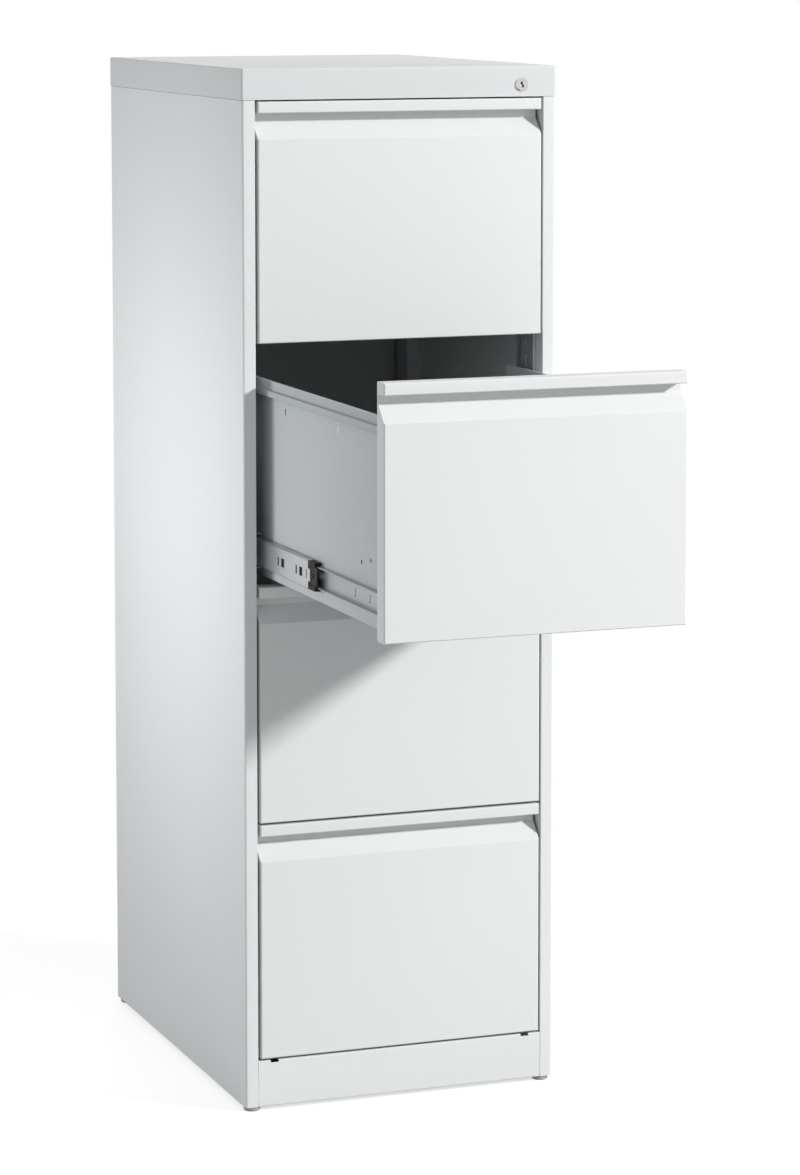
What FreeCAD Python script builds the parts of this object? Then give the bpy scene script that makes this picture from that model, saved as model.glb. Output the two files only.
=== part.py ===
import FreeCAD, Part
import os
import re
import Sketcher

# Four-drawer steel suspension filing cabinet, in millimetres.
# +Z is up, the drawers open towards -Y, and the origin lies on the floor
# at the centre of the footprint. Drawer 1 is the top one, and drawer 2 stands open.

DRAWERS = 4
OPEN_DRAWER = 2
CLOSE = 0.001

# Driving sizes
SIZES = {
    "opening_width": 397,
    "stile_width": 17.2,
    "cover_overhang": 0.8,
    "case_depth": 590,
    "face_proud": 2,
    "case_wall": 1,
    "seam_gap": 0.4,
    "corner_bend": 3,
    "edge_bend": 1.6,
    "stile_return": 30,
    "rear_return": 14,
    "foot_height": 6,
    "foot_radius": 11,
    "foot_edge": 1.5,
    "foot_inset": 13,
    "stem_radius": 3,
    "stem_length": 18,
    "stem_clearance": 0.2,
    "plinth_height": 61,
    "plinth_return": 16,
    "plinth_notch_width": 11,
    "plinth_notch_depth": 9,
    "plinth_notch_height": 3,
    "plinth_notch_inset": 17,
    "base_flange": 22,
    "cover_height": 40,
    "cover_return": 20,
    "front_height": 309,
    "drawer_gap": 3,
    "top_gap": 2,
    "side_gap": 3.5,
    "front_depth": 23.5,
    "front_wall": 1,
    "front_bend": 2,
    "lip_height": 15,
    "neck_depth": 21,
    "neck_height": 11,
    "bevel_height": 22,
    "liner_gap": 0.3,
    "tray_wall": 0.8,
    "tray_bend": 2,
    "tray_lift": 6.5,
    "tray_extra": 16,
    "rail_top": 264.5,
    "rail_height": 19.5,
    "rail_lip": 12,
    "rail_out": 7,
    "rail_bead": 2.4,
    "rail_seat": 3,
    "side_slot_width": 5,
    "side_slot_height": 8,
    "side_slot_rise": 230,
    "side_slot_setback": 203,
    "side_slot_spacing": 198,
    "side_hole_radius": 2.6,
    "side_hole_rise": 80,
    "side_hole_step": 6,
    "side_hole_setback": 89,
    "side_hole_spacing": 32,
    "back_height": 200,
    "back_flange": 13,
    "back_inset": 1,
    "upright_wall": 1.2,
    "upright_inset": 2,
    "upright_setback": 31.5,
    "upright_spacing": 468.5,
    "upright_lip": 39,
    "upright_mouth": 18,
    "slot_width": 2.4,
    "slot_high": 9,
    "slot_tall": 15,
    "slot_high_rise": 292,
    "slot_tall_rise": 264,
    "slot_setback": 15,
    "slot_step": 6,
    "bracket_depth": 4.8,
    "bracket_wall": 1.2,
    "bracket_length": 30,
    "bracket_setback": 4,
    "bracket_tab": 10,
    "bracket_inset": 3,
    "runner_lift": 40,
    "runner_height": 45,
    "runner_thickness": 12.7,
    "runner_wall": 1.2,
    "runner_bend": 1.1,
    "member_gap": 1.2,
    "ball_gap": 3.3,
    "track_lip": 1,
    "tip_gap": 2,
    "runner_front": 34,
    "runner_length": 500,
    "middle_front": 58,
    "member_front": 24,
    "member_extra": 5,
    "middle_slot_width": 5,
    "middle_hole_width": 12,
    "middle_slot_height": 11,
    "middle_slot_setback": 21.5,
    "middle_slot_step": 21,
    "middle_slot_spacing": 70,
    "end_slot_setback": 4.5,
    "end_slot_width": 3,
    "end_tab_length": 7,
    "end_tab_height": 16,
    "lance_width": 2,
    "lance_height": 10,
    "lance_setback": 87,
    "lance_spacing": 51,
    "bumper_length": 26,
    "bumper_nose": 5,
    "bumper_hole_radius": 3,
    "bumper_clearance": 0.5,
    "bumper_cheek": 12,
    "cage_wall": 0.6,
    "cage_tip_gap": 1,
    "outer_cage_front": 165,
    "outer_cage_length": 238,
    "inner_cage_front": 184,
    "inner_cage_length": 222,
    "drawer_pull": 460,
    "lock_rise": 15.7,
    "lock_inset": 48.9,
    "bezel_radius": 9,
    "bezel_face": 7.4,
    "bezel_depth": 2.6,
    "bezel_rim": 0.8,
    "barrel_radius": 8,
    "barrel_length": 20,
    "barrel_clearance": 0.1,
    "plug_radius": 6,
    "plug_clearance": 0.05,
    "plug_sink": 0.3,
    "plug_length": 21.5,
    "keyway_width": 1.3,
    "keyway_height": 7.6,
    "keyway_swing": 1.1,
    "keyway_depth": 4,
    "cam_width": 11,
    "cam_end": 3,
    "cam_thickness": 2,
    "pin_radius": 2,
    "pin_reach": 7,
    "pin_clearance": 0.3,
    "bar_setback": 26.5,
    "bar_thickness": 3,
    "bar_width": 2.5,
    "bar_side_gap": 1,
    "bar_drop": 30,
    "plate_margin": 3.2,
    "plate_reach": 8,
    "hook_reach": 4.5,
    "hook_height": 12,
    "hook_clearance": 2,
    "guide_rise": 203,
    "guide_height": 14,
    "guide_leg": 1.2,
    "guide_clearance": 0.3,
    "guide_depth": 4,
    "catch_wall": 1.5,
    "catch_rise": 150,
    "catch_height": 8,
    "catch_base": 7.5,
    "catch_overlap": 3.5,
    "catch_play": 1.5,
}

# Lengths and places worked out from the driving sizes
DERIVED = {
    "stile_edge": "opening_width / 2",
    "side_face": "stile_edge + stile_width",
    "side_inner": "side_face - case_wall",
    "cover_side": "side_face + cover_overhang",
    "front_face": "-case_depth / 2",
    "stile_face": "front_face + face_proud",
    "case_back": "case_depth / 2",
    "panel_back": "case_back - case_wall",
    "panel_front": "case_back - 2 * case_wall",
    "plinth_top": "foot_height + plinth_height",
    "lowest_level": "plinth_top + drawer_gap",
    "drawer_pitch": "front_height + drawer_gap",
    "top_level": "lowest_level + %d * drawer_pitch" % (DRAWERS - 1),
    "cover_bottom": "top_level + front_height + top_gap",
    "panel_top": "cover_bottom - seam_gap",
    "front_half": "stile_edge - side_gap",
    "lip_bottom": "front_height - lip_height",
    "neck_bottom": "lip_bottom - neck_height",
    "bevel_bottom": "neck_bottom - bevel_height",
    "bevel_slope": "bevel_height / neck_depth",
    "bevel_shift": "front_wall * sqrt(1 + bevel_slope^2)",
    "upright_face": "stile_edge - upright_inset",
    "upright_front": "stile_face + upright_setback",
    "upright_back": "upright_front + upright_lip + upright_mouth",
    "runner_face": "upright_face - bracket_depth",
    "runner_tip": "runner_face - runner_thickness + tip_gap",
    "tray_half": "runner_face - runner_thickness",
    "tray_inner": "tray_half - tray_wall",
    "tray_front": "front_depth",
    "tray_length": "runner_length + tray_extra",
    "tray_back": "front_depth + tray_length",
    "cabinet_half": "runner_height / 2",
    "middle_web": "runner_face - runner_wall - member_gap",
    "middle_half": "cabinet_half - runner_wall - ball_gap",
    "member_tip": "runner_face - 2 * (runner_wall + member_gap)",
    "member_half": "middle_half - runner_wall - ball_gap",
    "member_length": "runner_length + member_extra",
    "cage_space": "(member_gap - cage_wall) / 2",
    "cage_drop": "(ball_gap - cage_wall) / 2",
    "cage_tip": "runner_tip + runner_wall + cage_tip_gap",
    "outer_cage_web": "runner_face - runner_wall - cage_space",
    "outer_cage_half": "cabinet_half - runner_wall - cage_drop",
    "inner_cage_web": "middle_web - runner_wall - cage_space",
    "inner_cage_half": "middle_half - runner_wall - cage_drop",
    "bumper_web": "member_tip + cage_space",
    "bumper_plate": "middle_web - runner_wall",
    "lock_side": "cover_side - lock_inset",
    "lock_height": "cover_bottom + lock_rise",
    "pin_step": "pin_reach * sqrt(0.5)",
    "bar_outer": "stile_edge - bar_side_gap",
    "bar_inner": "bar_outer - bar_width",
    "bar_front": "front_face + bar_setback",
    "bar_back": "bar_front + bar_thickness",
    "plate_middle": "lock_height + pin_step",
    "plate_half": "pin_radius + pin_clearance + plate_margin",
    "plate_top": "plate_middle + plate_half",
    "bar_bottom": "lowest_level + catch_rise - bar_drop",
    "hook_inner": "bar_inner - hook_reach",
    "catch_tip": "hook_inner + catch_overlap",
    "catch_back": "bar_setback + bar_thickness + catch_play",
}

DOC = FreeCAD.newDocument("FilingCabinet")
SHEET = DOC.addObject("Spreadsheet::Sheet", "Sizes")
NODES = []


def fill_sheet():
    for row, (name, size) in enumerate(SIZES.items(), 1):
        SHEET.set("A%d" % row, name)
        SHEET.set("B%d" % row, str(size))
        SHEET.setAlias("B%d" % row, name)
    DOC.recompute()


# The text of a formula in which each size's name points to its cell
def linked(text):
    def cell(match):
        name = match.group()
        if name in DERIVED:
            return "(" + linked(DERIVED[name]) + ")"
        return "Sizes." + name if name in SIZES else name
    return re.sub("[a-z_]+", cell, str(text))


def value(text):
    return float(SHEET.evalExpression(linked(text)))


def bind(item, path, text):
    item.setExpression(path, linked(text))


def level(number):
    return "(lowest_level + %d * drawer_pitch)" % (DRAWERS - number)


# A body for one named piece
def new_piece(label):
    body = DOC.addObject("PartDesign::Body", label)
    body.Label = label
    NODES.append(body)
    return body


def set_place(body, x="0", y="0", z="0"):
    bind(body, "Placement.Base.x", x)
    bind(body, "Placement.Base.y", y)
    bind(body, "Placement.Base.z", z)


# A body in a drawer's own frame: its face at y = 0 and its lower edge at z = 0.
# The share says how much of the drawer's travel the piece makes.
def drawer_piece(name, number, share=1):
    body = new_piece("%s_%d" % (name, number))
    travel = share if number == OPEN_DRAWER else 0
    set_place(body, y="front_face - %s * drawer_pull" % travel, z=level(number))
    return body


def origin_item(body, role):
    return next(item for item in body.Origin.OriginFeatures if item.Role == role)


# A sketch on an origin plane, moved along that plane's own axis to the place given
def sketch_at(body, role, place):
    sketch = body.newObject("Sketcher::SketchObject", "Sketch")
    sketch.AttachmentSupport = [(origin_item(body, role), "")]
    sketch.MapMode = "FlatFace"
    offset = "-(%s)" % place if role == "XZ_Plane" else place
    bind(sketch, "AttachmentOffset.Base.z", offset)
    return sketch


def hold(sketch, constraint, name, text):
    number = sketch.addConstraint(constraint)
    sketch.renameConstraint(number, name)
    bind(sketch, "Constraints." + name, text)


def hold_point(sketch, item, point, x, y):
    for kind, text in (("DistanceX", x), ("DistanceY", y)):
        constraint = Sketcher.Constraint(kind, -1, 1, item, point, value(text))
        hold(sketch, constraint, kind + str(item), text)


def draw_polygon(sketch, points):
    first = sketch.GeometryCount
    spots = [FreeCAD.Vector(value(x), value(y), 0) for x, y in points]
    for start, end in zip(spots, spots[1:] + spots[:1]):
        sketch.addGeometry(Part.LineSegment(start, end))
    for index, (x, y) in enumerate(points):
        following = first + (index + 1) % len(points)
        sketch.addConstraint(Sketcher.Constraint("Coincident", first + index, 2, following, 1))
        hold_point(sketch, first + index, 1, x, y)


def draw_circle(sketch, x, y, radius):
    centre = FreeCAD.Vector(value(x), value(y), 0)
    circle = Part.Circle(centre, FreeCAD.Vector(0, 0, 1), value(radius))
    item = sketch.addGeometry(circle)
    hold_point(sketch, item, 3, x, y)
    constraint = Sketcher.Constraint("Radius", item, value(radius))
    hold(sketch, constraint, "Radius" + str(item), radius)


def rectangle(left, right, low, high):
    return [(left, low), (right, low), (right, high), (left, high)]


# Corners of a regular polygon, with flats at the radius given
def regular_polygon(x, y, radius, sides):
    reach = "(%s) / cos(180 / %d)" % (radius, sides)
    turns = ["(%d + 0.5) * 360 / %d" % (corner, sides) for corner in range(sides)]
    return [("%s + %s * cos(%s)" % (x, reach, t), "%s + %s * sin(%s)" % (y, reach, t)) for t in turns]


def draw_all(sketch, polygons, circles):
    for points in polygons:
        draw_polygon(sketch, points)
    for circle in circles:
        draw_circle(sketch, *circle)


# Material added from the place given, towards the plane's positive side
def add_prism(body, role, place, length, polygons=(), circles=()):
    sketch = sketch_at(body, role, place)
    draw_all(sketch, polygons, circles)
    pad = body.newObject("PartDesign::Pad", "Pad")
    pad.Profile = sketch
    pad.Reversed = role == "XZ_Plane"
    bind(pad, "Length", length)
    DOC.recompute()
    return pad


# Material cut away from the place given, towards the plane's positive side
def cut_prism(body, role, place, length, polygons=(), circles=()):
    before = body.Shape.Volume
    sketch = sketch_at(body, role, place)
    draw_all(sketch, polygons, circles)
    pocket = body.newObject("PartDesign::Pocket", "Pocket")
    pocket.Profile = sketch
    pocket.Reversed = role != "XZ_Plane"
    bind(pocket, "Length", length)
    DOC.recompute()
    if body.Shape.Volume > before - CLOSE:
        raise ValueError(body.Label + ": a pocket cut nothing")
    return pocket


def add_turned(body, points):
    sketch = sketch_at(body, "XY_Plane", "0")
    draw_polygon(sketch, points)
    turned = body.newObject("PartDesign::Revolution", "Revolution")
    turned.Profile = sketch
    turned.ReferenceAxis = (sketch, ["V_Axis"])
    turned.Angle = 360
    DOC.recompute()
    return turned


# Names of the edges whose ends all lie at the coordinates given
def edges_at(feature, **place):
    wanted = {axis: value(text) for axis, text in place.items()}
    names = []
    for number, edge in enumerate(feature.Shape.Edges, 1):
        ends = [vertex.Point for vertex in edge.Vertexes]
        offsets = [abs(getattr(end, axis) - wanted[axis]) for end in ends for axis in wanted]
        if max(offsets) < CLOSE:
            names.append("Edge%d" % number)
    return names


def round_edges(body, feature, names, radius):
    fillet = body.newObject("PartDesign::Fillet", "Fillet")
    fillet.Base = (feature, names)
    bind(fillet, "Radius", radius)
    DOC.recompute()
    return fillet


def bevel_edges(body, feature, names, size):
    chamfer = body.newObject("PartDesign::Chamfer", "Chamfer")
    chamfer.Base = (feature, names)
    bind(chamfer, "Size", size)
    DOC.recompute()
    return chamfer


# Copies of the whole body, as separate solids: rows along the axes given, then a mirror
def repeat(body, rows, both_sides=True):
    pattern = body.newObject("PartDesign::MultiTransform", "Repeat")
    pattern.TransformMode = "Whole shape"
    steps = []
    for axis, count, spacing in rows:
        row = DOC.addObject("PartDesign::LinearPattern", "Row")
        body.addObject(row)
        row.Direction = (origin_item(body, axis), [""])
        row.Mode = "Spacing"
        row.Occurrences = count
        bind(row, "Offset", spacing)
        steps.append(row)
    if both_sides:
        mirror = DOC.addObject("PartDesign::Mirrored", "Mirror")
        body.addObject(mirror)
        mirror.MirrorPlane = (origin_item(body, "YZ_Plane"), [""])
        steps.append(mirror)
    pattern.Transformations = steps
    body.Tip = pattern
    DOC.recompute()


def side_panels():
    body = new_piece("right_side_panel")
    front = "stile_face + case_wall"
    wall = [
        ("stile_edge", "stile_face + stile_return"),
        ("stile_edge", "stile_face"),
        ("side_face", "stile_face"),
        ("side_face", "case_back"),
        ("side_face - rear_return", "case_back"),
        ("side_face - rear_return", "panel_back"),
        ("side_inner", "panel_back"),
        ("side_inner", front),
        ("stile_edge + case_wall", front),
        ("stile_edge + case_wall", "stile_face + stile_return"),
    ]
    sheet = add_prism(body, "XY_Plane", "foot_height", "panel_top - foot_height", [wall])
    outer = edges_at(sheet, x="side_face", y="stile_face")
    sheet = round_edges(body, sheet, outer, "corner_bend")
    inner = edges_at(sheet, x="side_inner", y=front)
    round_edges(body, sheet, inner, "corner_bend - case_wall")
    flange = rectangle("stile_edge", "side_inner", front, "panel_back")
    stem_hole = "stem_radius + stem_clearance"
    holes = [
        regular_polygon("cover_side - foot_inset", "stile_face + foot_inset", stem_hole, 6),
        regular_polygon("cover_side - foot_inset", "case_back - foot_inset", stem_hole, 6),
    ]
    add_prism(body, "XY_Plane", "foot_height", "case_wall", [flange] + holes)
    add_prism(body, "XY_Plane", "panel_top - case_wall", "case_wall", [flange])
    left = DOC.addObject("Part::Mirroring", "left_side_panel")
    left.Label = "left_side_panel"
    left.Source = body
    left.Normal = FreeCAD.Vector(1, 0, 0)
    NODES.append(left)


def rear_panel():
    body = new_piece("rear_panel")
    reach = "side_inner - seam_gap"
    plate = rectangle("-(%s)" % reach, reach, "panel_front", "panel_back")
    bottom = "foot_height + case_wall + seam_gap"
    top = "panel_top - case_wall - seam_gap"
    add_prism(body, "XY_Plane", bottom, "%s - (%s)" % (top, bottom), [plate])


def top_cover():
    body = new_piece("top_cover")
    footprint = rectangle("-cover_side", "cover_side", "stile_face", "case_back")
    block = add_prism(body, "XY_Plane", "cover_bottom", "cover_height", [footprint])
    corners = edges_at(block, x="cover_side", y="stile_face")
    corners += edges_at(block, x="-cover_side", y="stile_face")
    block = round_edges(body, block, corners, "corner_bend")
    rim = edges_at(block, z="cover_bottom + cover_height")
    round_edges(body, block, rim, "edge_bend")
    mouth = rectangle("-stile_edge", "stile_edge", "stile_face + cover_return", "panel_back")
    cut_prism(body, "XY_Plane", "cover_bottom", "case_wall", [mouth])
    reach = "cover_side - case_wall"
    hollow = rectangle("-(%s)" % reach, reach, "stile_face + case_wall", "panel_back")
    cut_prism(body, "XY_Plane", "cover_bottom + case_wall", "cover_height - 2 * case_wall", [hollow])
    lock_hole = ("lock_side", "lock_height", "barrel_radius + barrel_clearance")
    cut_prism(body, "XZ_Plane", "stile_face", "case_wall", circles=[lock_hole])


def base_panel():
    body = new_piece("base_panel")
    end = "panel_front - seam_gap"
    floor_side = "plinth_top - case_wall"
    sheet = [
        ("stile_face", "foot_height"),
        ("stile_face", "plinth_top"),
        (end, "plinth_top"),
        (end, "plinth_top - base_flange"),
        (end + " - case_wall", "plinth_top - base_flange"),
        (end + " - case_wall", floor_side),
        ("stile_face + case_wall", floor_side),
        ("stile_face + case_wall", "foot_height + case_wall"),
        ("stile_face + plinth_return", "foot_height + case_wall"),
        ("stile_face + plinth_return", "foot_height"),
    ]
    reach = "stile_edge - seam_gap"
    folded = add_prism(body, "YZ_Plane", "-(%s)" % reach, "2 * (%s)" % reach, [sheet])
    bends = edges_at(folded, y="stile_face", z="plinth_top")
    bends += edges_at(folded, y="stile_face", z="foot_height")
    round_edges(body, folded, bends, "edge_bend")
    outer = "stile_edge - plinth_notch_inset"
    inner = "stile_edge - plinth_notch_inset - plinth_notch_width"
    back = "stile_face + plinth_notch_depth"
    notches = [
        rectangle(inner, outer, "stile_face", back),
        rectangle("-(%s)" % outer, "-(%s)" % inner, "stile_face", back),
    ]
    cut_prism(body, "XY_Plane", "plinth_top - plinth_notch_height", "plinth_notch_height", notches)


def uprights():
    body = new_piece("uprights")
    section = [
        ("upright_face", "upright_front + upright_lip"),
        ("upright_face", "upright_front"),
        ("side_inner", "upright_front"),
        ("side_inner", "upright_back"),
        ("upright_face", "upright_back"),
        ("upright_face", "upright_back - upright_wall"),
        ("side_inner - upright_wall", "upright_back - upright_wall"),
        ("side_inner - upright_wall", "upright_front + upright_wall"),
        ("upright_face + upright_wall", "upright_front + upright_wall"),
        ("upright_face + upright_wall", "upright_front + upright_lip"),
    ]
    height = "panel_top - case_wall - plinth_top"
    add_prism(body, "XY_Plane", "plinth_top", height, [section])
    first = "upright_front + slot_setback"
    second = first + " + slot_step"
    slots = []
    for number in range(1, DRAWERS + 1):
        for front, rise, tall in (
            (second, "slot_high_rise", "slot_high"),
            (first, "slot_tall_rise", "slot_tall"),
            (second, "slot_tall_rise", "slot_tall"),
        ):
            low = level(number) + " + " + rise
            slots.append(rectangle(front, front + " + slot_width", low, low + " + " + tall))
    cut_prism(body, "YZ_Plane", "upright_face", "upright_wall", slots)
    repeat(body, [("Y_Axis", 2, "upright_spacing")])


def runner_brackets():
    body = new_piece("runner_brackets")
    seat = "cabinet_half - bracket_inset"
    end = seat + " + bracket_tab"
    tab = "upright_face - bracket_wall"
    web = "runner_face + bracket_wall"
    leg = seat + " - bracket_wall"
    upper = [
        ("upright_face", leg),
        ("upright_face", end),
        (tab, end),
        (tab, seat),
        ("runner_face", seat),
    ]
    inner = [(web, leg)]
    lower = [(x, "-(%s)" % z) for x, z in reversed(upper)]
    inner_low = [(web, "-(%s)" % leg)]
    section = [(x, "lowest_level + runner_lift + " + z) for x, z in upper + lower + inner_low + inner]
    front = "upright_front + bracket_setback"
    add_prism(body, "XZ_Plane", front, "bracket_length", [section])
    rows = [("Z_Axis", DRAWERS, "drawer_pitch"), ("Y_Axis", 2, "upright_spacing")]
    repeat(body, rows)


# Section of a runner member: a web, two flanges and, where it holds balls, two lips
def channel(web, tip, half, wall, lip=None):
    inside = "%s - %s" % (web, wall) if value(web) > value(tip) else "%s + %s" % (web, wall)
    back = "%s + %s" % (tip, wall) if value(web) > value(tip) else "%s - %s" % (tip, wall)
    upper = [(web, half), (tip, half)]
    if lip:
        edge = "%s - %s - %s" % (half, wall, lip)
        upper += [(tip, edge), (back, edge), (back, "%s - %s" % (half, wall))]
    else:
        upper += [(tip, "%s - %s" % (half, wall))]
    upper += [(inside, "%s - %s" % (half, wall))]
    lower = [(x, "-(%s)" % z) for x, z in reversed(upper)]
    return [(x, "runner_lift + " + z) for x, z in upper + lower]


def bend_channel(body, feature, web, half):
    corners = edges_at(feature, x=web, z="runner_lift + " + half)
    corners += edges_at(feature, x=web, z="runner_lift - " + half)
    bevel_edges(body, feature, corners, "runner_bend")


def cabinet_runners():
    body = new_piece("cabinet_runners")
    set_place(body, z="lowest_level")
    section = channel("runner_face", "runner_tip", "cabinet_half", "runner_wall", "track_lip")
    bar = add_prism(body, "XZ_Plane", "front_face + runner_front", "runner_length", [section])
    bend_channel(body, bar, "runner_face", "cabinet_half")
    repeat(body, [("Z_Axis", DRAWERS, "drawer_pitch")])


def glide_feet():
    body = new_piece("glide_feet")
    x = "cover_side - foot_inset"
    y = "stile_face + foot_inset"
    pad = add_prism(body, "XY_Plane", "0", "foot_height", circles=[(x, y, "foot_radius")])
    bevel_edges(body, pad, edges_at(pad, z="0"), "foot_edge")
    stem = regular_polygon(x, y, "stem_radius", 6)
    add_prism(body, "XY_Plane", "foot_height", "stem_length", [stem])
    repeat(body, [("Y_Axis", 2, "case_back - stile_face - 2 * foot_inset")])


# The lock's pieces are made about its axis, with y = 0 on the cover's front
def lock_piece(label):
    body = new_piece(label)
    set_place(body, "lock_side", "stile_face", "lock_height")
    return body


def lock_barrel():
    body = lock_piece("lock_barrel")
    bore = "plug_radius + plug_clearance"
    add_turned(body, [
        (bore, "plug_sink - bezel_depth"),
        ("bezel_face", "-bezel_depth"),
        ("bezel_radius", "-bezel_rim"),
        ("bezel_radius", "0"),
        ("barrel_radius", "0"),
        ("barrel_radius", "barrel_length"),
        (bore, "barrel_length"),
    ])


def lock_plug():
    body = lock_piece("lock_plug")
    face = "plug_sink - bezel_depth"
    add_turned(body, [
        ("0", face),
        ("plug_radius", face),
        ("plug_radius", "plug_length"),
        ("0", "plug_length"),
    ])
    half = "keyway_width / 2"
    zigzag = [
        (half, "-keyway_height / 2"),
        (half + " + keyway_swing", "-keyway_height / 6"),
        (half + " - keyway_swing", "keyway_height / 6"),
        (half, "keyway_height / 2"),
        ("-" + half, "keyway_height / 2"),
        ("-%s - keyway_swing" % half, "keyway_height / 6"),
        ("-%s + keyway_swing" % half, "-keyway_height / 6"),
        ("-" + half, "-keyway_height / 2"),
    ]
    cut_prism(body, "XZ_Plane", face, "keyway_depth", [zigzag])


def lock_cam():
    body = lock_piece("lock_cam")
    half = "cam_width / 2"
    tail = "(cam_width / 2 + cam_end)"
    reach = "(pin_reach + pin_radius + cam_end)"
    corners = [("-" + tail, "-" + half), (reach, "-" + half), (reach, half), ("-" + tail, half)]
    lean = "sqrt(0.5)"
    arm = [("%s * (%s - (%s))" % (lean, u, w), "%s * (%s + (%s))" % (lean, u, w)) for u, w in corners]
    add_prism(body, "XZ_Plane", "plug_length", "cam_thickness", [arm])
    pin = [("pin_step", "pin_step", "pin_radius")]
    start = "plug_length + cam_thickness"
    add_prism(body, "XZ_Plane", start, "bar_back - stile_face - (%s)" % start, circles=pin)


def lock_bar():
    body = new_piece("lock_bar")
    section = rectangle("bar_inner", "bar_outer", "bar_front", "bar_back")
    add_prism(body, "XY_Plane", "bar_bottom", "plate_top - bar_bottom", [section])


def lock_bar_plate():
    body = new_piece("lock_bar_plate")
    room = "pin_radius + pin_clearance"
    near = "lock_side + pin_step - (%s)" % room
    far = "lock_side + pin_reach + %s" % room
    low = "plate_middle - (%s)" % room
    plate = rectangle(near + " - plate_reach", "bar_inner", "plate_middle - plate_half", "plate_top")
    slot = rectangle(near, far, low, "plate_middle + " + room)
    add_prism(body, "XZ_Plane", "bar_front", "bar_thickness", [plate, slot])


def lock_hooks():
    body = new_piece("lock_hooks")
    section = rectangle("hook_inner", "bar_inner", "bar_front", "bar_back")
    low = "lowest_level + catch_rise + catch_height / 2 + hook_clearance"
    add_prism(body, "XY_Plane", low, "hook_height", [section])
    repeat(body, [("Z_Axis", DRAWERS, "drawer_pitch")], both_sides=False)


def lock_bar_guides():
    body = new_piece("lock_bar_guides")
    near = "bar_front - guide_clearance"
    far = "bar_back + guide_clearance"
    inside = "bar_outer + guide_clearance"
    tip = "stile_edge - guide_depth"
    section = [
        (tip, near + " - guide_leg"),
        ("stile_edge", near + " - guide_leg"),
        ("stile_edge", far + " + guide_leg"),
        (tip, far + " + guide_leg"),
        (tip, far),
        (inside, far),
        (inside, near),
        (tip, near),
    ]
    add_prism(body, "XY_Plane", "lowest_level + guide_rise", "guide_height", [section])
    repeat(body, [("Z_Axis", DRAWERS, "drawer_pitch")], both_sides=False)


def drawer_front(number):
    body = drawer_piece("drawer_front", number)
    outside = [
        ("0", "0"),
        ("front_depth", "0"),
        ("front_depth", "front_height"),
        ("0", "front_height"),
        ("0", "lip_bottom"),
        ("neck_depth", "lip_bottom"),
        ("neck_depth", "neck_bottom"),
        ("0", "bevel_bottom"),
    ]
    block = add_prism(body, "YZ_Plane", "-front_half", "2 * front_half", [outside])
    round_edges(body, block, edges_at(block, y="0"), "front_bend")
    wall = "front_wall"
    bevel = "bevel_bottom - bevel_shift + bevel_slope * "
    inside = [
        (wall, wall),
        ("front_depth", wall),
        ("front_depth", "front_height - front_wall"),
        (wall, "front_height - front_wall"),
        (wall, "lip_bottom + front_wall"),
        ("neck_depth + front_wall", "lip_bottom + front_wall"),
        ("neck_depth + front_wall", bevel + "(neck_depth + front_wall)"),
        (wall, bevel + "front_wall"),
    ]
    hollow = "front_half - front_wall"
    cut_prism(body, "YZ_Plane", "-(%s)" % hollow, "2 * (%s)" % hollow, [inside])


def drawer_liner(number):
    body = drawer_piece("drawer_liner", number)
    reach = "front_half - front_wall - liner_gap"
    low = "front_wall + liner_gap"
    plate = rectangle("-(%s)" % reach, reach, low, "front_height - (%s)" % low)
    add_prism(body, "XZ_Plane", "front_depth - front_wall", "front_wall", [plate])


def drawer_tray(number):
    body = drawer_piece("drawer_tray", number)
    floor = "tray_lift + tray_wall"
    section = [
        ("-tray_half", "rail_top"),
        ("-tray_half", "tray_lift"),
        ("tray_half", "tray_lift"),
        ("tray_half", "rail_top"),
        ("tray_inner", "rail_top"),
        ("tray_inner", floor),
        ("-tray_inner", floor),
        ("-tray_inner", "rail_top"),
    ]
    sheet = add_prism(body, "XZ_Plane", "tray_front", "tray_length", [section])
    bends = edges_at(sheet, x="tray_half", z="tray_lift") + edges_at(sheet, x="-tray_half", z="tray_lift")
    sheet = round_edges(body, sheet, bends, "tray_bend")
    bends = edges_at(sheet, x="tray_inner", z=floor) + edges_at(sheet, x="-tray_inner", z=floor)
    round_edges(body, sheet, bends, "tray_bend - tray_wall")
    low = "side_slot_rise - side_slot_height / 2"
    high = "side_slot_rise + side_slot_height / 2"
    slots = []
    for front in ("side_slot_setback", "side_slot_setback + side_slot_spacing"):
        slots.append(rectangle(front, front + " + side_slot_width", low, high))
    low = "side_hole_rise"
    high = "side_hole_rise + side_hole_step"
    rear = "side_hole_setback + side_hole_spacing"
    holes = [
        regular_polygon("side_hole_setback", high, "side_hole_radius", 12),
        regular_polygon(rear, low, "side_hole_radius", 12),
    ]
    cut_prism(body, "YZ_Plane", "-tray_half", "2 * tray_half", slots + holes)


def drawer_back(number):
    body = drawer_piece("drawer_back", number)
    back = "tray_back - back_inset"
    front = back + " - back_flange"
    reach = "tray_inner"
    section = [
        ("-" + reach, front),
        ("-%s + tray_wall" % reach, front),
        ("-%s + tray_wall" % reach, back + " - tray_wall"),
        (reach + " - tray_wall", back + " - tray_wall"),
        (reach + " - tray_wall", front),
        (reach, front),
        (reach, back),
        ("-" + reach, back),
    ]
    floor = "tray_lift + tray_bend"
    add_prism(body, "XY_Plane", floor, "back_height - (%s)" % floor, [section])


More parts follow.
